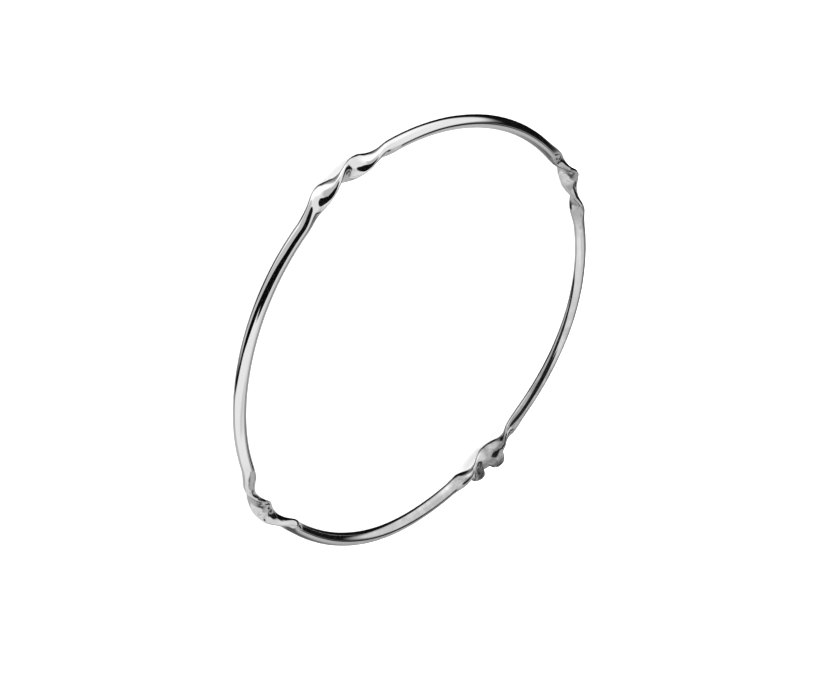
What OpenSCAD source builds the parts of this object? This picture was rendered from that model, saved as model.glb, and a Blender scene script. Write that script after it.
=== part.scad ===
// Twisted wire bangle
// One closed ring of round bar. In four places the bar is pressed flat and
// turned once about its own middle line. The ring lies flat, with its axis along +Z,
// centred on the Z axis, and rests on the floor at z = 0 on its twists.

/* [Ring] */
// Inner diameter of the plain ring, which the hand goes through
inner_d = 65; // [58:0.5:72]
// Diameter of the round bar, halfway between its thicker and its thinner stretches
bar_d = 1.9; // [1.6:0.05:2.3]
// How far the hand-bent bar strays from a true circle, outwards or upwards
sway = 0.5; // [0:0.05:0.8]

/* [Twists] */
// Wide side of the bar where it is pressed flat
flat_w = 3; // [2.4:0.05:3.6]
// Thin side of the bar where it is pressed flat
flat_t = 0.95; // [0.7:0.05:1.4]
// Length of a pressed stretch, along the ring
flat_l = 10.7; // [8:0.1:13]
// Length over which the round bar goes over into a pressed stretch
blend_l = 6.8; // [5:0.1:8]
// Length over which the bar makes its full turn
turn_l = 17.4; // [14:0.2:20]
// How far a pressed stretch stands out from the round bar's middle line
stand_out = 0.8; // [0:0.05:1]
// How far a pressed stretch hangs down from the round bar's middle line
hang_down = 0.5; // [0:0.05:0.7]
// How far a pressed stretch leans outwards, for each millimetre along it
lean = 0.08; // [0:0.01:0.12]
// How round the pressed edges are: 1 gives an oval section, less gives a squarer one
edge_round = 0.8; // [0.6:0.02:1]
// Which way the bar is turned: -1 is a left-handed twist, 1 a right-handed one
hand = -1; // [-1, 1]

/* [Lobes] */
// How far a round lobe of pressed metal stands out beside a twist
lobe_out = 1.2; // [0:0.05:1.6]
// Length of a lobe, along the ring
lobe_l = 2.7; // [1.6:0.1:3.2]

/* [Hidden] */

// The four twists. They are made by hand, so each differs a little.
// place: degrees round the ring, anticlockwise from +X as seen from above
// shift, long: the pressed stretch's offset from the turn's middle and its length, shares of flat_l
// wide, out, down, leaning: shares of flat_w, stand_out, hang_down and lean
twists = [
  // place, shift, long, wide, out, down, leaning
  [69, 0.15, 1.05, 1.05, 0.75, 0, 0.4],
  [157.6, 0.05, 1, 1, 1, 1.1, 0.5],
  [246, 0.08, 1.13, 1, 0.5, 0.65, 1.15],
  [346.6, -0.18, 0.98, 1, 0.85, 1.95, 0.25]
];
twist_n = len(twists);
function twist_place(k) = twists[k][0];
function flat_shift(k) = twists[k][1] * flat_l;
function flat_length(k) = twists[k][2] * flat_l;
function flat_width(k) = twists[k][3] * flat_w;
function flat_out(k) = twists[k][4] * stand_out;
function flat_down(k) = twists[k][5] * hang_down;
function flat_lean(k) = twists[k][6] * lean;

// Lobes where the pressed metal spread sideways.
// twist: the one that it is beside, by its row above
// shift: its offset from the turn's middle, as a share of flat_l
// size, long: shares of lobe_out and lobe_l
// side: the way that it stands out, in degrees from outwards to upwards
lobes = [
  // twist, shift, size, long, side
  [0, 0.22, 1, 1, 25],
  [0, -0.13, 1.3, 1, 30]
];
lobe_n = len(lobes);
function lobe_twist(k) = lobes[k][0];
function lobe_shift(k) = lobes[k][1] * flat_l;
function lobe_size(k) = lobes[k][2] * lobe_out;
function lobe_length(k) = lobes[k][3] * lobe_l;
function lobe_side(k) = lobes[k][4];

// Pull on the bar at equal steps round the ring from +X: how far out and up its middle line goes,
// as shares of sway, and how much thicker it is, as a share of bar_d
pulls = [
  // out, up, thicker
  [-0.5, 0.5, 0.02],
  [0.8, 0.75, 0.12],
  [-1.05, -1.2, 0.05],
  [0.05, -1, -0.05],
  [0.25, 0.95, -0.09],
  [0.4, -0.1, -0.1],
  [-0.35, 0.2, 0.02],
  [-0.05, 0.25, 0.03],
  [0.9, -0.65, 0.03],
  [0.9, -0.45, 0.06],
  [-0.2, 0.25, 0.05],
  [-0.2, -0.05, -0.02]
];
pull_n = len(pulls);

// Middle line of the round bar
ring_r = (inner_d + bar_d) / 2;
mm_per_deg = 2 * PI * ring_r / 360;

// Share of a turn's length over which it gathers speed, and slows again
turn_soft = 0.13;

// Stations round the ring: close together in a twist, further apart on the plain bar
in_twist = 60;
on_bar = 14;
// Points round one section
around = 20;

function clamp01(x) = min(1, max(0, x));

function ease(x) =
  let (c = clamp01(x))
  c * c * (3 - 2 * c);

function soft_ramp(x) =
  let (c = clamp01(x), s = turn_soft, full = 1 - s)
  c < s ? c * c / (2 * s * full) :
  c > full ? 1 - (1 - c) * (1 - c) / (2 * s * full) :
  (c - s / 2) / full;

function signed_power(v, p) = sign(v) * pow(abs(v), p);

// Sum of a list of numbers or of vectors
function sum(list, i = 0) = i == len(list) - 1 ? list[i] : list[i] + sum(list, i + 1);

// Distance along the ring from a twist's middle, at most half the ring each way
function along(a, k) =
  let (d = a - twist_place(k))
  (d - 360 * floor((d + 180) / 360)) * mm_per_deg;

// Distance along the ring from the middle of the pressed stretch
function along_flat(a, k) = along(a, k) - flat_shift(k);

// How far the bar is pressed flat at a place, from 0 to 1
function pressed(a, k) = ease(((flat_length(k) + blend_l) / 2 - abs(along_flat(a, k))) / blend_l);

// Pull on the bar at an angle round the ring: a smooth closed curve through the pulls
function pull(a) =
  let (
    u = a * pull_n / 360,
    i = floor(u),
    f = u - i,
    p = [for (j = [-1 : 2]) pulls[(i + j + 2 * pull_n) % pull_n]]
  )
  (
    pow(1 - f, 3) * p[0]
    + (3 * pow(f, 3) - 6 * f * f + 4) * p[1]
    + (-3 * pow(f, 3) + 3 * f * f + 3 * f + 1) * p[2]
    + pow(f, 3) * p[3]
  ) / 6;

// How far a lobe stands out at an angle round the ring, on a round hump along the bar
function lobe_height(a, k) =
  let (x = 2 * (along(a, lobe_twist(k)) - lobe_shift(k)) / lobe_length(k))
  lobe_size(k) * sqrt(max(0, 1 - x * x));

// Draws one side of an outline out into the lobes, most at the point furthest that way
function drawn_out(outline, a, k = 0) =
  k == lobe_n ? outline :
  let (
    way = [cos(lobe_side(k)), sin(lobe_side(k))],
    height = lobe_height(a, k),
    far = max([for (q = outline) q * way])
  )
  drawn_out([for (q = outline) q + way * height * max(0, q * way / far)], a, k + 1);

// Outline of the bar at an angle round the ring, outwards and upwards from its own middle
function outline(a, f, bar) =
  let (
    ks = [0 : twist_n - 1],
    flat = sum(f),
    w = bar + sum([for (k = ks) f[k] * (flat_width(k) - bar)]),
    t = bar + (flat_t - bar) * flat,
    p = 1 + (edge_round - 1) * flat,
    turned = -hand * 360 * sum([for (k = ks) soft_ramp(along(a, k) / turn_l + 0.5)])
  )
  [
    for (i = [0 : around - 1])
      let (
        b = 360 * (i + 0.5) / around,
        u = w / 2 * signed_power(cos(b), p),
        v = t / 2 * signed_power(sin(b), p)
      )
      [u * cos(turned) - v * sin(turned), u * sin(turned) + v * cos(turned)]
  ];

// One section of the bar at an angle round the ring
function section(a) =
  let (
    ks = [0 : twist_n - 1],
    f = [for (k = ks) pressed(a, k)],
    pulled = pull(a),
    middle = sway * [pulled.x, pulled.y] + sum([
      for (k = ks) f[k] * [flat_out(k) + flat_lean(k) * along_flat(a, k), -flat_down(k)]
    ])
  )
  [
    for (q = drawn_out(outline(a, f, bar_d * (1 + pulled.z)), a))
      let (r = ring_r + middle.x + q.x)
      [r * cos(a), r * sin(a), middle.y + q.y]
  ];

// Half the length, along the ring, that a twist's close stations cover
reach = max([
  for (k = [0 : twist_n - 1])
    max(turn_l / 2, abs(flat_shift(k)) + (flat_length(k) + blend_l) / 2)
]);
span = reach / mm_per_deg;

function stations() = [
  for (k = [0 : twist_n - 1])
    let (
      here = twist_place(k),
      next = twist_place((k + 1) % twist_n) + (k == twist_n - 1 ? 360 : 0),
      gap = next - here - 2 * span
    )
    each concat(
      [for (i = [0 : in_twist - 1]) here - span + 2 * span * i / in_twist],
      [for (i = [0 : on_bar - 1]) here + span + gap * i / on_bar]
    )
];

module bangle() {
  rings = [for (a = stations()) section(a)];
  points = [for (ring = rings) each ring];
  low = [for (axis = [0 : 2]) min([for (q = points) q[axis]])];
  high = [for (axis = [0 : 2]) max([for (q = points) q[axis]])];
  n = len(rings);
  faces = [
    for (i = [0 : n - 1])
      for (j = [0 : around - 1])
        let (
          a = i * around + j,
          b = i * around + (j + 1) % around,
          c = (i + 1) % n * around + (j + 1) % around,
          d = (i + 1) % n * around + j
        )
        each [[a, b, c], [a, c, d]]
  ];
  color([0.8, 0.8, 0.82])
    translate([-(low.x + high.x) / 2, -(low.y + high.y) / 2, -low.z])
      polyhedron(points = points, faces = faces, convexity = 6);
}

bangle();
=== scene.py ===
"""Looks of a twisted wire bangle in polished silver, built round its packed construction model."""

import math
from collections import namedtuple

import bmesh
import bpy
from bpy.props import EnumProperty, FloatProperty, FloatVectorProperty, IntProperty, PointerProperty
from mathutils import Matrix, Quaternion, Vector, noise


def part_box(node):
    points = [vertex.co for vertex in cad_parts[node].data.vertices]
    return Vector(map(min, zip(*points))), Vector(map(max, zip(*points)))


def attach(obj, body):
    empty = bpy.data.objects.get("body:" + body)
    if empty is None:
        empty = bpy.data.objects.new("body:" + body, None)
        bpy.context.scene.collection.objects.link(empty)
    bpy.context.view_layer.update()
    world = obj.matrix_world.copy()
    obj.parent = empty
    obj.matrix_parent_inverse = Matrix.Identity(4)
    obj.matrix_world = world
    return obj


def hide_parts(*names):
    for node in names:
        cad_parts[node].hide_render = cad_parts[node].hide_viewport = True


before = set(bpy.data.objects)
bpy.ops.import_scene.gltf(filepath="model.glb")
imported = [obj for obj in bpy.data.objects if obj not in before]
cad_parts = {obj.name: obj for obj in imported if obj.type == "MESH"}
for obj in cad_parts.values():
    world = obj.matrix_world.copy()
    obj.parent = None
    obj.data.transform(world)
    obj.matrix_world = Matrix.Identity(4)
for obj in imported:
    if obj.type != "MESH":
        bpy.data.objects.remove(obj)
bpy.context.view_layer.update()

bl_info = {
    "name": "Twisted wire bangle",
    "version": (1, 0, 0),
    "blender": (4, 5, 0),
    "location": "View3D > Sidebar > Bangle",
    "description": "A polished silver bangle with four pressed and twisted stretches, on a pale floor",
    "category": "Add Mesh",
}

MM = 0.001

# The photograph's frame, in pixels
PICTURE_W = 813
PICTURE_H = 683
# Where the middle of the ring stands in that frame
RING_IN_PICTURE = (418, 335)
# The middle of the plain ring, before its twists moved the middle of its box, in millimetres
RING_MIDDLE = (-0.157, 0.133, 2.387)

# The four twists. They are made by hand, so each differs a little.
# place: degrees round the ring, anticlockwise from +X as seen from above
# shift, long: the pressed stretch's offset from the turn's middle and its length, shares of flat_l
# wide, out, down, leaning: shares of flat_w, stand_out, hang_down and lean
# film: how much painted shade it has, a dark grey that dims its reflections, from 0 to 1
# dents: how deep its hammer marks are, as a share of dent; grain: where they come from in the noise
Twist = namedtuple("Twist", "place shift long wide out down leaning film dents grain")
TWISTS = (
    Twist(69, 0.15, 1.05, 1.05, 0.75, 0, 0.4, film=0.85, dents=1, grain=245),
    Twist(157.6, 0.05, 1, 1, 1, 1.1, 0.5, film=0.7, dents=0.8, grain=224),
    Twist(246, 0.08, 1.13, 1, 0.5, 0.65, 1.15, film=0.12, dents=0.5, grain=182),
    Twist(346.6, -0.18, 0.98, 1, 0.85, 1.95, 0.25, film=0.3, dents=1, grain=14),
)

# Lobes where the pressed metal spread sideways.
# twist: the one that it is beside, by its row above
# shift: its offset from the turn's middle, as a share of flat_l
# size, long: shares of lobe_out and lobe_l
# side: the way that it stands out, in degrees from outwards to upwards
Lobe = namedtuple("Lobe", "twist shift size long side")
LOBES = (
    Lobe(0, 0.22, 1, 1, 25),
    Lobe(0, -0.13, 1.3, 1, 30),
)

# Round hollows that the hammer left on the twists.
# twist: the one that it is on, by its row above; along: its distance from the turn's middle, in mm
# side: degrees round the section, from the first edge to the first flat face at 90, and so on
# size: how far it spreads, in mm; depth: in mm, and a swelling where it is below 0
Hollow = namedtuple("Hollow", "twist along side size depth")
HOLLOWS = (
    Hollow(0, 1, 280, 0.9, -0.35),
    Hollow(0, 2, 190, 1.1, 0.4),
    Hollow(1, 6.5, 125, 1.2, 0.4),
    Hollow(1, 8.5, 340, 1.2, -0.25),
    Hollow(2, 2.5, 80, 1.8, -0.3),
    Hollow(2, 0, 270, 0.65, 0.2),
    Hollow(3, 2.5, 260, 1.5, 0.3),
    Hollow(3, 5.5, 180, 0.7, -0.35),
)

# Pull on the bar at equal steps round the ring from +X: how far out and up its middle line goes,
# as shares of sway, and how much thicker it is, as a share of bar_d
Pull = namedtuple("Pull", "out up thicker")
PULLS = (
    Pull(-0.5, 0.5, 0.02),
    Pull(0.8, 0.75, 0.12),
    Pull(-1.05, -1.2, 0.05),
    Pull(0.05, -1, -0.05),
    Pull(0.25, 0.95, -0.09),
    Pull(0.4, -0.1, -0.1),
    Pull(-0.35, 0.2, 0.02),
    Pull(-0.05, 0.25, 0.03),
    Pull(0.9, -0.65, 0.03),
    Pull(0.9, -0.45, 0.06),
    Pull(-0.2, 0.25, 0.05),
    Pull(-0.2, -0.05, -0.02),
)

# Share of a turn's length over which it gathers speed, and slows again
TURN_SOFT = 0.13
# Sine of the angle under which two places round the ring are on one section
SAME_SECTION = 1e-4
# Mean square of the distance from a hammer mark's middle, as a share of its size
EVEN_DENT = 0.25
# Where a hollow has faded out, as a share of its size
HOLLOW_ENDS = 4

# How much more painted shade, dimming the reflection, lies on a lobe, where it stands out furthest
LOBE_SHADE = 0.55
# How much painted shade, dimming the reflection, lies on the rubbed side of the plain bar
RUBBED_SIDE_SHADE = 0.6
# How much rougher the painted shade makes the metal
SHADE_DULLS = 0.05
# The side of the ring that is rubbed rougher and painted darker, and from where to where across the
# ring both grow
RUBBED_AND_SHADED_WAY = (0.26, 0.97, 0)
RUBBED_AND_SHADED_FROM = 0.25
RUBBED_AND_SHADED_TO = 0.95

# Patches that a noise makes on the metal.
# per_m: how many to a metre; detail: octaves; low, high: the values between which they grow
# least, most: what they grow from and to
Patches = namedtuple("Patches", "per_m detail low high least most")
# Patches in the painted shade, so that its darkening is uneven
SHADE_PATCHES = Patches(420, 3, 0.3, 0.62, 0.45, 1.15)
HANDLED = Patches(160, 2, 0.35, 0.7, 0.25, 1)

# Fine scratches, each row running its own way.
# turn: the way, as a turn about X, Y and Z in radians
# per_m: how many to a metre across them; share: how much of the metal they take
Scratches = namedtuple("Scratches", "turn per_m share")
SCRATCHES = (
    Scratches((0.3, 0.2, 0.5), 5200, 0.02),
    Scratches((1.1, -0.4, 1.9), 6800, 0.016),
    Scratches((-0.7, 0.9, -1.2), 4300, 0.014),
)
# How much a scratch is drawn out along its way, as a share of its width's scale
DRAWN_ALONG = 0.03
# How strongly the scratches turn the light
SCRATCH_BUMP = 0.06

# The paper floor: half its side in metres, its fibres to a metre, how dark they are, its roughness
FLOOR_HALF = 3
FIBRES_PER_M = 900
FIBRE_DARK = 0.995
PAPER_ROUGH = 0.9

# The studio that the metal reflects, as a mirror ball in the ring's place shows it from the camera:
# soft oval cards on a grey backdrop, each over the ones before it.
# x to the right and y up from the ball's middle, half_w and half_h: all as shares of its radius
# turn: degrees anticlockwise; soft: width of the edge as a share of the card; light: its brightness
Card = namedtuple("Card", "x y half_w half_h turn soft light")
BACKDROP = 0.49
CARDS = {
    "gap behind the softbox": Card(0.01, 0.14, 0.9, 0.86, 16, 0.05, 0.004),
    "table edge": Card(0.04, -0.83, 0.31, 0.13, 11, 0.55, 0.1),
    "softbox": Card(-0.02, 0.01, 0.795, 0.74, 62, 0.04, 0.85),
    "softbox middle": Card(-0.15, 0.515, 0.385, 0.2, 1, 0.85, 1.3),
    "white table": Card(0.07, -0.545, 0.605, 0.15, 12, 0.12, 0.84),
    "grey side": Card(1.04, -0.56, 0.12, 0.69, 64, 0.95, 0.46),
    "edge of the table": Card(0.685, -0.33, 0.14, 0.03, 90, 0.5, 0.01),
    "rim of the softbox": Card(0.853, -0.255, 0.175, 0.03, 62, 0.5, 0.02),
    "dark doorway": Card(-0.625, -0.025, 0.27, 0.285, 51, 0.12, 0.0015),
    "grey wall": Card(-0.39, 0.13, 0.47, 0.235, 21, 0.2, 0.55),
    "dark room": Card(-0.33, -0.08, 0.34, 0.15, 9, 0.05, 0.0015),
    "camera and its cloth": Card(0.14, -0.065, 0.3, 0.225, -7, 0.06, 0.0015),
    "lamp behind the camera": Card(0.325, -0.515, 0.29, 0.035, 14, 0.45, 0.62),
}

# One station of the bar: its section's sides and how round it is, how far it is turned,
# how far it lies outside and above the plain ring's middle line, the ways in which lobes draw it out,
# its shares of painted shade and of hammer marks, and where those come from in the noise
Station = namedtuple("Station", "wide thick power turned out up lobes film dents grain")


def length_prop(name, description, default, low, high):
    """A length that is given in millimetres and kept in metres"""
    return FloatProperty(
        name=name,
        description=description,
        default=default * MM,
        min=low * MM,
        max=high * MM,
        precision=5,
        unit="LENGTH",
    )


def share_prop(name, description, default, low=0.0, high=1.0):
    """A plain number, most often a share from 0 to 1"""
    return FloatProperty(
        name=name, description=description, default=default, min=low, max=high, precision=3
    )


class BangleSizes(bpy.types.PropertyGroup):
    """Sizes of the bar and of its twists"""

    inner_d: length_prop("Inner diameter", "Inner diameter of the plain ring", 65, 58, 72)
    bar_d: length_prop("Bar", "Diameter of the round bar", 1.9, 1.6, 2.3)
    sway: length_prop("Sway", "How far the bar strays from a true circle", 0.5, 0, 0.8)
    flat_w: length_prop("Flat width", "Wide side of the pressed bar", 3, 2.4, 3.6)
    flat_t: length_prop("Flat thickness", "Thin side of the pressed bar", 0.95, 0.7, 1.4)
    flat_l: length_prop("Flat length", "Length of a pressed stretch", 10.7, 8, 13)
    blend_l: length_prop("Blend", "Length over which round goes over into flat", 6.8, 5, 8)
    turn_l: length_prop("Turn length", "Length over which the bar turns once", 17.4, 14, 20)
    stand_out: length_prop("Stand out", "How far a flat stands out from the ring", 0.8, 0, 1)
    hang_down: length_prop("Hang down", "How far a flat hangs below the ring", 0.5, 0, 0.7)
    lean: share_prop("Lean", "Outward lean for each length along a flat", 0.08, 0, 0.12)
    edge_round: share_prop("Edge", "1 is an oval section, less is squarer", 0.8, 0.6, 1)
    hand: EnumProperty(
        name="Hand",
        description="Which way the bar is turned",
        items=(("LEFT", "Left", "Left-handed twists"), ("RIGHT", "Right", "Right-handed twists")),
        default="LEFT",
    )
    lobe_out: length_prop("Lobes", "How far a round lobe stands out beside a twist", 1.2, 0, 1.6)
    lobe_l: length_prop("Lobe length", "Length of a lobe along the ring", 2.7, 1.6, 3.2)
    hammered: length_prop("Hammered", "Depth of the soft waves left by the hammer", 0.012, 0, 0.05)
    wave_l: length_prop("Wave length", "Length of those waves", 3.5, 1, 10)
    dent: length_prop("Dents", "Depth of the hammer marks on a twist", 0.15, 0, 0.5)
    dent_l: length_prop("Dent length", "Distance from one hammer mark to the next", 1.5, 1, 6)
    # The reach of the painted shade past each end of a twist
    shade_reach: length_prop("Shade length", "How far tarnish reaches past each end of a twist", 3.5, 0, 8)
    spun: IntProperty(
        name="Sections", description="Sections spun round the ring", default=240, min=90, max=360
    )
    cuts: IntProperty(
        name="Cuts", description="Cuts between one section and the next", default=5, min=0, max=8
    )
    around: IntProperty(
        name="Points", description="Points round one section", default=48, min=16, max=64
    )


class SilverFinish(bpy.types.PropertyGroup):
    """Colour and surface of the polished silver"""

    bright: FloatVectorProperty(
        name="Silver",
        description="Colour of the polished metal",
        subtype="COLOR",
        default=(0.93, 0.93, 0.93),
        min=0,
        max=1,
    )
    # Dark grey of the painted shade, which dims the reflections on the twists, the lobes and the rubbed
    # side
    shade_grey: FloatVectorProperty(
        name="Shade",
        description="Colour of the thin film in the creases",
        subtype="COLOR",
        default=(0.39, 0.39, 0.39),
        min=0,
        max=1,
    )
    polish: share_prop("Polish", "Roughness of the polished metal", 0.035)
    scratched: share_prop("Scratched", "Roughness where it has fine scratches", 0.09)
    rubbed: share_prop("Rubbed", "Roughness of the side that has rubbed on the wrist", 0.065)
    scratch_depth: length_prop("Scratch depth", "Depth of the fine scratches", 0.002, 0, 0.05)


class StudioLook(bpy.types.PropertyGroup):
    """Floor, light and camera"""

    floor: FloatVectorProperty(
        name="Floor",
        description="Colour of the pale floor",
        subtype="COLOR",
        default=(0.93, 0.93, 0.93),
        min=0,
        max=1,
    )
    room_light: FloatProperty(
        name="Room light",
        description="Brightness of the white light that falls on the floor",
        default=2.3,
        min=0,
        max=5,
    )
    azimuth: FloatProperty(
        name="Azimuth",
        description="Side that the camera stands on, from -Y",
        subtype="ANGLE",
        default=0.0,
    )
    elevation: FloatProperty(
        name="Elevation",
        description="Camera's height above the floor, as an angle",
        subtype="ANGLE",
        default=math.radians(37.85),
    )
    roll: FloatProperty(
        name="Roll",
        description="Turn of the camera about its own line of sight",
        subtype="ANGLE",
        default=math.radians(121.7),
    )
    distance: length_prop("Distance", "From the camera to the middle of the ring", 345.5, 200, 900)
    lens: FloatProperty(
        name="Lens",
        description="Focal length of the camera",
        subtype="DISTANCE_CAMERA",
        default=104.5,
        min=50,
        max=200,
    )
    sensor: FloatProperty(
        name="Sensor",
        description="Width of the camera's sensor",
        subtype="DISTANCE_CAMERA",
        default=36,
        min=20,
        max=60,
    )


def clamp01(x):
    """The number, held between 0 and 1"""
    return min(1.0, max(0.0, x))


def ease(x):
    """A smooth step from 0 to 1"""
    c = clamp01(x)
    return c * c * (3 - 2 * c)


def soft_ramp(x):
    """From 0 to 1 at an even speed, gathered and lost over TURN_SOFT of the way"""
    c = clamp01(x)
    full = 1 - TURN_SOFT
    if c < TURN_SOFT:
        return c * c / (2 * TURN_SOFT * full)
    if c > full:
        return 1 - (1 - c) ** 2 / (2 * TURN_SOFT * full)
    return (c - TURN_SOFT / 2) / full


def signed_power(value, power):
    """A power that keeps the number's sign"""
    return math.copysign(abs(value) ** power, value)


def pull_at(degrees, column):
    """Smooth closed curve through one column of the ring's pulls"""
    row_n = len(PULLS)
    u = degrees * row_n / 360
    i = math.floor(u)
    f = u - i
    before, here, after, beyond = (getattr(PULLS[(i + j) % row_n], column) for j in range(-1, 3))
    return (
        (1 - f) ** 3 * before
        + (3 * f**3 - 6 * f * f + 4) * here
        + (-3 * f**3 + 3 * f * f + 3 * f + 1) * after
        + f**3 * beyond
    ) / 6


def middle_r(sizes):
    """Radius of the plain ring's middle line"""
    return (sizes.inner_d + sizes.bar_d) / 2


def along_ring(degrees, twist, sizes):
    """Distance along the ring from a twist's middle, at most half the ring each way"""
    away = (degrees - twist.place + 180) % 360 - 180
    return math.radians(away) * middle_r(sizes)


def station_at(degrees, sizes):
    """Section and place of the bar at an angle round the ring"""
    bar = sizes.bar_d * (1 + pull_at(degrees, "thicker"))
    wide = thick = bar
    power = 1.0
    turned = film = dents = grain = 0.0
    out = sizes.sway * pull_at(degrees, "out")
    up = sizes.sway * pull_at(degrees, "up")
    for twist in TWISTS:
        along = along_ring(degrees, twist, sizes)
        along_flat = along - twist.shift * sizes.flat_l
        half = (twist.long * sizes.flat_l + sizes.blend_l) / 2
        flat = ease((half - abs(along_flat)) / sizes.blend_l)
        wide += flat * (sizes.flat_w * twist.wide - bar)
        thick += flat * (sizes.flat_t - bar)
        power += flat * (sizes.edge_round - 1)
        turned += math.tau * soft_ramp(along / sizes.turn_l + 0.5)
        out += flat * (sizes.stand_out * twist.out + sizes.lean * twist.leaning * along_flat)
        up -= flat * sizes.hang_down * twist.down
        # Painted shade: a dark grey on each twist that dims its reflections, reaching a little past its
        # ends
        film = max(film, twist.film * ease((half + sizes.shade_reach - abs(along_flat)) / sizes.blend_l))
        dents += flat * twist.dents
        if flat > 0:
            grain = twist.grain
    if sizes.hand == "RIGHT":
        turned = -turned
    plain = Station(wide, thick, power, turned, out, up, (), film, dents, grain)
    return plain._replace(lobes=lobes_at(degrees, plain, sizes))


def outline_place(around_section, station):
    """Where a point of the section lies from the bar's middle line, outwards and upwards"""
    u = station.wide / 2 * signed_power(math.cos(around_section), station.power)
    v = station.thick / 2 * signed_power(math.sin(around_section), station.power)
    turn_cos = math.cos(station.turned)
    turn_sin = math.sin(station.turned)
    return Vector((u * turn_cos - v * turn_sin, u * turn_sin + v * turn_cos))


def lobes_at(degrees, station, sizes):
    """The way that each lobe draws this section out, and how strongly"""
    found = []
    for lobe in LOBES:
        away = along_ring(degrees, TWISTS[lobe.twist], sizes) - lobe.shift * sizes.flat_l
        hump = 1 - (2 * away / (lobe.long * sizes.lobe_l)) ** 2
        if hump > 0:
            side = math.radians(lobe.side)
            way = Vector((math.cos(side), math.sin(side)))
            angles = (math.tau * i / sizes.around for i in range(sizes.around))
            far = max(outline_place(angle, station).dot(way) for angle in angles)
            found.append((way, lobe.size * sizes.lobe_out * math.sqrt(hump) / far))
    return tuple(found)


def drawn_out(place, station):
    """How far the lobes draw a point of the section out"""
    drawn = Vector((0, 0))
    for way, strength in station.lobes:
        drawn += way * (strength * max(0.0, (place + drawn).dot(way)))
    return drawn


def bent_place(round_ring, around_section, station, ring_r):
    """Where the point at these two angles of a plain ring lies on the finished bar"""
    place = outline_place(around_section, station)
    place += drawn_out(place, station)
    r = ring_r + station.out + place.x
    return Vector((r * math.cos(round_ring), r * math.sin(round_ring), station.up + place.y))


def angle_round(place):
    """Angle of a place round the ring"""
    return math.atan2(place.y, place.x)


def runs_along(edge):
    """Whether an edge leads from one section of the plain ring to the next"""
    here, there = (Vector((vert.co.x, vert.co.y)) for vert in edge.verts)
    return abs(here.normalized().cross(there.normalized())) > SAME_SECTION


def plain_ring(bm, sizes, ring_r):
    """A round section, spun into a closed ring about Z, and cut finely along its length"""
    section = bmesh.ops.create_circle(bm, segments=sizes.around, radius=sizes.bar_d / 2)["verts"]
    upright = Matrix.Rotation(math.radians(90), 3, "X")
    bmesh.ops.rotate(bm, verts=section, cent=(0, 0, 0), matrix=upright)
    bmesh.ops.translate(bm, verts=section, vec=(ring_r, 0, 0))
    bmesh.ops.spin(
        bm,
        geom=section + bm.edges[:],
        cent=(0, 0, 0),
        axis=(0, 0, 1),
        angle=math.tau,
        steps=sizes.spun,
        use_merge=True,
    )
    lengthwise = [edge for edge in bm.edges if runs_along(edge)]
    bmesh.ops.subdivide_edges(bm, edges=lengthwise, cuts=sizes.cuts, use_grid_fill=True)


def press_and_turn(bm, sizes, ring_r):
    """Moves each point of the plain ring to its place on the pressed, turned and bent bar"""
    film = bm.verts.layers.float.new("film")
    dents = bm.verts.layers.float.new("dents")
    grain = bm.verts.layers.float.new("grain")
    stations = {}
    for vert in bm.verts:
        round_ring = angle_round(vert.co)
        around_section = math.atan2(vert.co.z, math.hypot(vert.co.x, vert.co.y) - ring_r)
        degrees = round(math.degrees(round_ring), 3)
        if degrees not in stations:
            stations[degrees] = station_at(degrees, sizes)
        station = stations[degrees]
        vert.co = bent_place(round_ring, around_section, station, ring_r)
        drawn = drawn_out(outline_place(around_section, station), station).length
        # Painted shade: the twist's share, and more where a lobe stands out
        vert[film] = station.film + LOBE_SHADE * clamp01(drawn / sizes.lobe_out)
        vert[dents] = station.dents
        vert[grain] = station.grain


def press_hollow(bm, hollow, sizes, middle):
    """Presses one round hollow into the side that it is on"""
    degrees = TWISTS[hollow.twist].place + math.degrees(hollow.along * MM / middle_r(sizes))
    station = station_at(degrees, sizes)
    aim = middle + bent_place(
        math.radians(degrees), math.radians(hollow.side), station, middle_r(sizes)
    )
    centre = min(bm.verts, key=lambda vert: (vert.co - aim).length_squared)
    deepest = centre.co.copy()
    for vert in bm.verts:
        away = (vert.co - deepest).length / (hollow.size * MM)
        facing = vert.normal.dot(centre.normal)
        if away < HOLLOW_ENDS and facing > 0:
            vert.co -= vert.normal * (hollow.depth * MM * facing * math.exp(-away * away / 2))


def hammer(bm, sizes, middle):
    """Soft shallow waves all round, and round hammer marks with creases between them on the twists"""
    bm.normal_update()
    dents = bm.verts.layers.float["dents"]
    grain = bm.verts.layers.float["grain"]
    for vert in bm.verts:
        wave = noise.noise(vert.co / sizes.wave_l)
        from_middle = noise.voronoi(vert.co / sizes.dent_l + Vector((vert[grain], 0, 0)))[0][0]
        dent = from_middle * from_middle - EVEN_DENT
        vert.co += vert.normal * (wave * sizes.hammered + dent * sizes.dent * vert[dents])
    for hollow in HOLLOWS:
        press_hollow(bm, hollow, sizes, middle)


def seat(bm, low, high):
    """Centres the mesh on a box, lowers it onto the box's underside, and gives the ring's new middle"""
    places = [vert.co for vert in bm.verts]
    lowest = Vector(min(p[axis] for p in places) for axis in range(3))
    highest = Vector(max(p[axis] for p in places) for axis in range(3))
    shift = (low + high - lowest - highest) / 2
    shift.z = low.z - lowest.z
    bmesh.ops.translate(bm, verts=bm.verts[:], vec=shift)
    return shift


def new_object(name, bm, material):
    """Turns a finished bmesh into a smooth object of one material"""
    bmesh.ops.recalc_face_normals(bm, faces=bm.faces[:])
    for face in bm.faces:
        face.smooth = True
    mesh = bpy.data.meshes.new(name)
    bm.to_mesh(mesh)
    bm.free()
    mesh.materials.append(material)
    piece = bpy.data.objects.new(name, mesh)
    bpy.context.scene.collection.objects.link(piece)
    return piece


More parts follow.
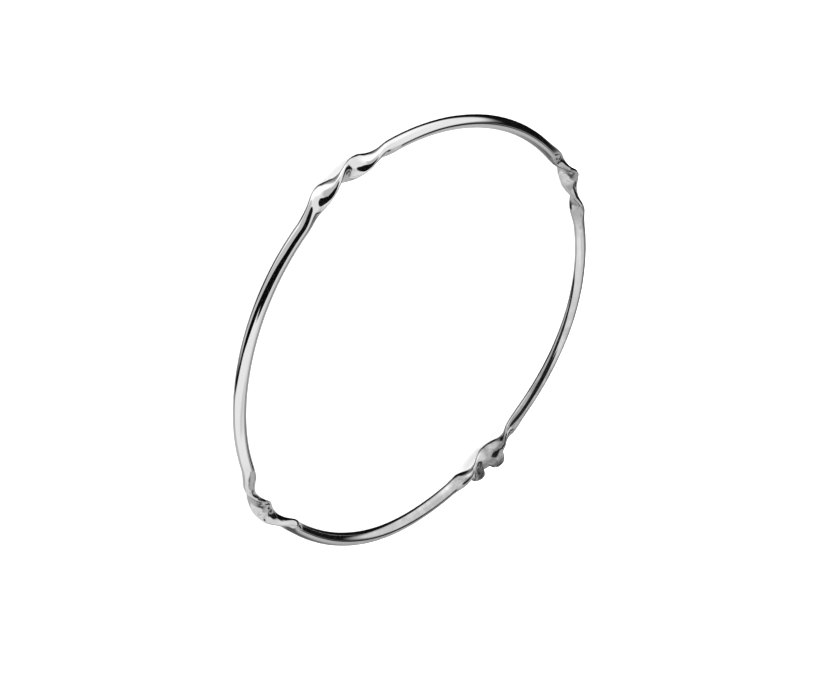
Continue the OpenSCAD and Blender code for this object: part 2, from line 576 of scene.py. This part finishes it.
def node(tree, kind, **settings):
    """A new node of a tree, with its settings"""
    made = tree.nodes.new(kind)
    for name, value in settings.items():
        setattr(made, name, value)
    return made


def join(tree, output, target):
    """Leads one node's output into another node"""
    tree.links.new(output, target)


def maths(tree, operation, first, second=0.5, clamp=False):
    """One sum on one or two outputs or plain numbers"""
    made = node(tree, "ShaderNodeMath", operation=operation, use_clamp=clamp)
    for socket, value in zip(made.inputs, (first, second)):
        if isinstance(value, bpy.types.NodeSocket):
            join(tree, value, socket)
        else:
            socket.default_value = value
    return made.outputs[0]


def spread(tree, value, low, high, to_low=0.0, to_high=1.0):
    """Maps a value from one range to another, smoothly and clamped"""
    made = node(tree, "ShaderNodeMapRange", interpolation_type="SMOOTHSTEP")
    join(tree, value, made.inputs["Value"])
    made.inputs["From Min"].default_value = low
    made.inputs["From Max"].default_value = high
    made.inputs["To Min"].default_value = to_low
    made.inputs["To Max"].default_value = to_high
    return made.outputs["Result"]


def noise_of(tree, vector, scale, detail, roughness=0.5):
    """Cloudy noise over a place"""
    made = node(tree, "ShaderNodeTexNoise")
    join(tree, vector, made.inputs["Vector"])
    made.inputs["Scale"].default_value = scale
    made.inputs["Detail"].default_value = detail
    made.inputs["Roughness"].default_value = roughness
    return made.outputs["Fac"]


def patches_of(tree, vector, patches):
    """Soft patches over the metal"""
    cloud = noise_of(tree, vector, patches.per_m, patches.detail)
    return spread(tree, cloud, patches.low, patches.high, patches.least, patches.most)


def scratches_group():
    """Fine straight scratches that run one way, as a mask from 0 to 1"""
    name = "Fine scratches"
    if name in bpy.data.node_groups:
        return bpy.data.node_groups[name]
    group = bpy.data.node_groups.new(name, "ShaderNodeTree")
    sockets = group.interface
    sockets.new_socket("Vector", in_out="INPUT", socket_type="NodeSocketVector")
    sockets.new_socket("Rotation", in_out="INPUT", socket_type="NodeSocketVector")
    sockets.new_socket("Across", in_out="INPUT", socket_type="NodeSocketFloat")
    sockets.new_socket("Share", in_out="INPUT", socket_type="NodeSocketFloat")
    sockets.new_socket("Mask", in_out="OUTPUT", socket_type="NodeSocketFloat")
    inside = group.nodes.new("NodeGroupInput")
    outside = group.nodes.new("NodeGroupOutput")
    turned = node(group, "ShaderNodeVectorRotate", rotation_type="EULER_XYZ")
    join(group, inside.outputs["Vector"], turned.inputs["Vector"])
    join(group, inside.outputs["Rotation"], turned.inputs["Rotation"])
    stretched = node(group, "ShaderNodeVectorMath", operation="MULTIPLY")
    join(group, turned.outputs[0], stretched.inputs[0])
    stretched.inputs[1].default_value = (DRAWN_ALONG, 1, 1)
    lines = node(group, "ShaderNodeTexNoise")
    join(group, stretched.outputs[0], lines.inputs["Vector"])
    join(group, inside.outputs["Across"], lines.inputs["Scale"])
    lines.inputs["Detail"].default_value = 1
    fine = maths(group, "SUBTRACT", lines.outputs["Fac"], 0.5)
    near = maths(group, "ABSOLUTE", fine)
    thin = maths(group, "DIVIDE", near, inside.outputs["Share"])
    join(group, maths(group, "SUBTRACT", 1.0, thin, clamp=True), outside.inputs["Mask"])
    return group


def scratches_of(tree, vector, scratches):
    """Mask of the fine scratches that run one way"""
    made = node(tree, "ShaderNodeGroup", node_tree=scratches_group())
    join(tree, vector, made.inputs["Vector"])
    made.inputs["Rotation"].default_value = scratches.turn
    made.inputs["Across"].default_value = scratches.per_m
    made.inputs["Share"].default_value = scratches.share
    return made.outputs["Mask"]


def new_material(name):
    """A material with its tree and its own shader"""
    material = bpy.data.materials.new(name)
    material.use_nodes = True
    tree = material.node_tree
    shader = tree.nodes["Principled BSDF"]
    return material, tree, shader


def silver(finish):
    """Polished silver with fine handling scratches, and painted shade: a dark grey in its colour that
    dims the reflections on the twists, the lobes and one side of the ring
    """
    material, tree, shader = new_material("silver")
    place = node(tree, "ShaderNodeTexCoord").outputs["Object"]
    shader.inputs["Metallic"].default_value = 1

    ring_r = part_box("bangle")[1].x
    # One side of the ring, which is rougher from rubbing and darkened with painted shade
    across = node(tree, "ShaderNodeVectorMath", operation="DOT_PRODUCT")
    join(tree, place, across.inputs[0])
    across.inputs[1].default_value = [part / ring_r for part in RUBBED_AND_SHADED_WAY]
    rubbed_and_shaded_side = spread(tree, across.outputs["Value"], RUBBED_AND_SHADED_FROM, RUBBED_AND_SHADED_TO)

    # Painted shade: a dark grey mixed into the silver's colour that dims its reflections, on the
    # twists, the lobes and the rubbed side, in patches
    on_twist = node(tree, "ShaderNodeAttribute", attribute_name="film").outputs["Fac"]
    shaded_share = maths(tree, "MAXIMUM", on_twist, maths(tree, "MULTIPLY", rubbed_and_shaded_side, RUBBED_SIDE_SHADE))
    film = maths(tree, "MULTIPLY", patches_of(tree, place, SHADE_PATCHES), shaded_share)
    colour = node(tree, "ShaderNodeMix", data_type="RGBA", clamp_factor=False)
    join(tree, film, colour.inputs["Factor"])
    colour.inputs["A"].default_value = (*finish.bright, 1)
    colour.inputs["B"].default_value = (*finish.shade_grey, 1)
    join(tree, colour.outputs["Result"], shader.inputs["Base Color"])

    one_way, other_way, third_way = (scratches_of(tree, place, row) for row in SCRATCHES)
    marks = maths(tree, "MAXIMUM", maths(tree, "MAXIMUM", one_way, other_way), third_way)
    worn = maths(tree, "MULTIPLY", marks, patches_of(tree, place, HANDLED))
    dulled = maths(tree, "MULTIPLY", film, SHADE_DULLS)
    scratched = maths(tree, "MULTIPLY", worn, finish.scratched - finish.polish)
    rubbed = maths(tree, "MULTIPLY", rubbed_and_shaded_side, finish.rubbed - finish.polish)
    rough = maths(tree, "ADD", maths(tree, "ADD", dulled, scratched), finish.polish)
    join(tree, maths(tree, "ADD", rough, rubbed), shader.inputs["Roughness"])

    bump = node(tree, "ShaderNodeBump")
    bump.inputs["Strength"].default_value = SCRATCH_BUMP
    bump.inputs["Distance"].default_value = finish.scratch_depth
    join(tree, maths(tree, "SUBTRACT", 1.0, worn), bump.inputs["Height"])
    join(tree, bump.outputs["Normal"], shader.inputs["Normal"])
    return material


def paper(pale):
    """Matt pale paper for the floor"""
    material, tree, shader = new_material("pale_floor")
    place = node(tree, "ShaderNodeTexCoord").outputs["Object"]
    fibre = noise_of(tree, place, FIBRES_PER_M, 4, 0.6)
    colour = node(tree, "ShaderNodeMix", data_type="RGBA")
    join(tree, fibre, colour.inputs["Factor"])
    colour.inputs["A"].default_value = (*[part * FIBRE_DARK for part in pale], 1)
    colour.inputs["B"].default_value = (*pale, 1)
    join(tree, colour.outputs["Result"], shader.inputs["Base Color"])
    shader.inputs["Roughness"].default_value = PAPER_ROUGH
    shader.inputs["Specular IOR Level"].default_value = 0.0
    return material


def card_group():
    """Mask of one soft oval card at a place on the mirror ball"""
    name = "Studio card"
    if name in bpy.data.node_groups:
        return bpy.data.node_groups[name]
    group = bpy.data.node_groups.new(name, "ShaderNodeTree")
    sockets = group.interface
    for socket in ("Place", "Middle", "Half size", "Turn"):
        sockets.new_socket(socket, in_out="INPUT", socket_type="NodeSocketVector")
    sockets.new_socket("Soft", in_out="INPUT", socket_type="NodeSocketFloat")
    sockets.new_socket("Mask", in_out="OUTPUT", socket_type="NodeSocketFloat")
    inside = group.nodes.new("NodeGroupInput")
    outside = group.nodes.new("NodeGroupOutput")
    moved = node(group, "ShaderNodeVectorMath", operation="SUBTRACT")
    join(group, inside.outputs["Place"], moved.inputs[0])
    join(group, inside.outputs["Middle"], moved.inputs[1])
    turned = node(group, "ShaderNodeVectorRotate", rotation_type="EULER_XYZ")
    join(group, moved.outputs[0], turned.inputs["Vector"])
    join(group, inside.outputs["Turn"], turned.inputs["Rotation"])
    shares = node(group, "ShaderNodeVectorMath", operation="DIVIDE")
    join(group, turned.outputs[0], shares.inputs[0])
    join(group, inside.outputs["Half size"], shares.inputs[1])
    far = node(group, "ShaderNodeVectorMath", operation="LENGTH")
    join(group, shares.outputs[0], far.inputs[0])
    edge = node(group, "ShaderNodeMapRange", interpolation_type="SMOOTHSTEP")
    join(group, far.outputs["Value"], edge.inputs["Value"])
    join(group, maths(group, "ADD", inside.outputs["Soft"], 1.0), edge.inputs["From Min"])
    join(group, maths(group, "SUBTRACT", 1.0, inside.outputs["Soft"]), edge.inputs["From Max"])
    join(group, edge.outputs["Result"], outside.inputs["Mask"])
    return group


def ball_place(tree, front, right, up):
    """Where a mirror ball seen from the front shows each direction"""
    direction = node(tree, "ShaderNodeTexCoord").outputs["Generated"]
    half = node(tree, "ShaderNodeVectorMath", operation="ADD")
    join(tree, direction, half.inputs[0])
    half.inputs[1].default_value = front
    facing = node(tree, "ShaderNodeVectorMath", operation="NORMALIZE")
    join(tree, half.outputs[0], facing.inputs[0])
    place = node(tree, "ShaderNodeCombineXYZ")
    for socket, axis in zip(("X", "Y"), (right, up)):
        part = node(tree, "ShaderNodeVectorMath", operation="DOT_PRODUCT")
        join(tree, facing.outputs[0], part.inputs[0])
        part.inputs[1].default_value = axis
        join(tree, part.outputs["Value"], place.inputs[socket])
    return place.outputs["Vector"]


def studio_light(tree, place):
    """Brightness of the studio at each place on the mirror ball"""
    light = node(tree, "ShaderNodeValue").outputs["Value"]
    light.default_value = BACKDROP
    for name, card in CARDS.items():
        shape = node(tree, "ShaderNodeGroup", node_tree=card_group(), label=name)
        join(tree, place, shape.inputs["Place"])
        shape.inputs["Middle"].default_value = (card.x, card.y, 0)
        shape.inputs["Half size"].default_value = (card.half_w, card.half_h, 1)
        shape.inputs["Turn"].default_value = (0, 0, math.radians(-card.turn))
        shape.inputs["Soft"].default_value = card.soft
        over = node(tree, "ShaderNodeMix", data_type="FLOAT", label=name)
        join(tree, shape.outputs["Mask"], over.inputs["Factor"])
        join(tree, light, over.inputs["A"])
        over.inputs["B"].default_value = card.light
        light = over.outputs["Result"]
    return light


def studio_world(look, camera):
    """White all round for the floor, and for the metal a white studio with a few dark cards"""
    world = bpy.data.worlds.new("studio")
    world.use_nodes = True
    tree = world.node_tree
    background = tree.nodes["Background"]
    turn = camera.rotation_quaternion
    place = ball_place(tree, *(turn @ Vector(axis) for axis in ((0, 0, 1), (1, 0, 0), (0, 1, 0))))
    rays = node(tree, "ShaderNodeLightPath")
    strength = node(tree, "ShaderNodeMix", data_type="FLOAT")
    join(tree, rays.outputs["Is Glossy Ray"], strength.inputs["Factor"])
    strength.inputs["A"].default_value = look.room_light
    join(tree, studio_light(tree, place), strength.inputs["B"])
    background.inputs["Color"].default_value = (1, 1, 1, 1)
    join(tree, strength.outputs["Result"], background.inputs["Strength"])
    bpy.context.scene.world = world


def aim_camera(look, ring_centre):
    """A camera on the photograph's side of the ring, turned about its line of sight as there"""
    camera_data = bpy.data.cameras.new("camera")
    camera_data.lens = look.lens
    camera_data.sensor_width = look.sensor
    camera_data.clip_start = 0.01
    camera_data.clip_end = 50
    camera = bpy.data.objects.new("camera", camera_data)
    bpy.context.scene.collection.objects.link(camera)
    back = Vector(
        (
            math.sin(look.azimuth) * math.cos(look.elevation),
            -math.cos(look.azimuth) * math.cos(look.elevation),
            math.sin(look.elevation),
        )
    )
    camera.location = ring_centre + back * look.distance
    upright = (-back).to_track_quat("-Z", "Y")
    rolled = upright @ Quaternion((0, 0, 1), look.roll)
    # The ring stands a little off the picture's middle, so the camera looks a little aside
    pixel = look.distance * look.sensor / (look.lens * PICTURE_W)
    aside = Vector((PICTURE_W / 2 - RING_IN_PICTURE[0], RING_IN_PICTURE[1] - PICTURE_H / 2, 0))
    target = ring_centre + rolled @ (aside * pixel)
    sight = target - camera.location
    camera.rotation_mode = "QUATERNION"
    camera.rotation_quaternion = (-back).rotation_difference(sight) @ rolled
    bpy.context.scene.camera = camera
    return camera


class BANGLE_OT_bangle(bpy.types.Operator):
    """Make the silver bangle"""

    bl_idname = "bangle.make_bangle"
    bl_label = "Bangle"

    def execute(self, context):
        sizes = context.scene.bangle_sizes
        ring_r = middle_r(sizes)
        low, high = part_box("bangle")
        bm = bmesh.new()
        plain_ring(bm, sizes, ring_r)
        press_and_turn(bm, sizes, ring_r)
        middle = seat(bm, low, high)
        hammer(bm, sizes, middle)
        piece = new_object("silver_bangle", bm, silver(context.scene.silver_finish))
        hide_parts("bangle")
        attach(piece, "root")
        return {"FINISHED"}


class BANGLE_OT_studio(bpy.types.Operator):
    """Make the floor, the light and the camera"""

    bl_idname = "bangle.make_studio"
    bl_label = "Studio"

    def execute(self, context):
        look = context.scene.studio_look
        low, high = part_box("bangle")
        bm = bmesh.new()
        bmesh.ops.create_grid(bm, x_segments=1, y_segments=1, size=FLOOR_HALF)
        bmesh.ops.translate(bm, verts=bm.verts[:], vec=(0, 0, low.z))
        floor = new_object("floor", bm, paper(look.floor))
        floor.visible_glossy = False
        camera = aim_camera(look, Vector(RING_MIDDLE) * MM)
        studio_world(look, camera)
        context.scene.view_settings.view_transform = "Standard"
        return {"FINISHED"}


class BANGLE_PT_panel(bpy.types.Panel):
    """Bangle tools"""

    bl_label = "Bangle"
    bl_idname = "BANGLE_PT_panel"
    bl_space_type = "VIEW_3D"
    bl_region_type = "UI"
    bl_category = "Bangle"

    def draw(self, context):
        for operator in (BANGLE_OT_bangle, BANGLE_OT_studio):
            self.layout.operator(operator.bl_idname)
        scene = context.scene
        for group in (scene.bangle_sizes, scene.silver_finish, scene.studio_look):
            box = self.layout.box()
            for name in group.__annotations__:
                box.prop(group, name)


CLASSES = (
    BangleSizes,
    SilverFinish,
    StudioLook,
    BANGLE_OT_bangle,
    BANGLE_OT_studio,
    BANGLE_PT_panel,
)


def register():
    for cls in CLASSES:
        bpy.utils.register_class(cls)
    bpy.types.Scene.bangle_sizes = PointerProperty(type=BangleSizes)
    bpy.types.Scene.silver_finish = PointerProperty(type=SilverFinish)
    bpy.types.Scene.studio_look = PointerProperty(type=StudioLook)


def unregister():
    del bpy.types.Scene.studio_look
    del bpy.types.Scene.silver_finish
    del bpy.types.Scene.bangle_sizes
    for cls in reversed(CLASSES):
        bpy.utils.unregister_class(cls)


def main():
    register()
    bpy.ops.bangle.make_bangle()
    bpy.ops.bangle.make_studio()


if __name__ == "__main__":
    main()
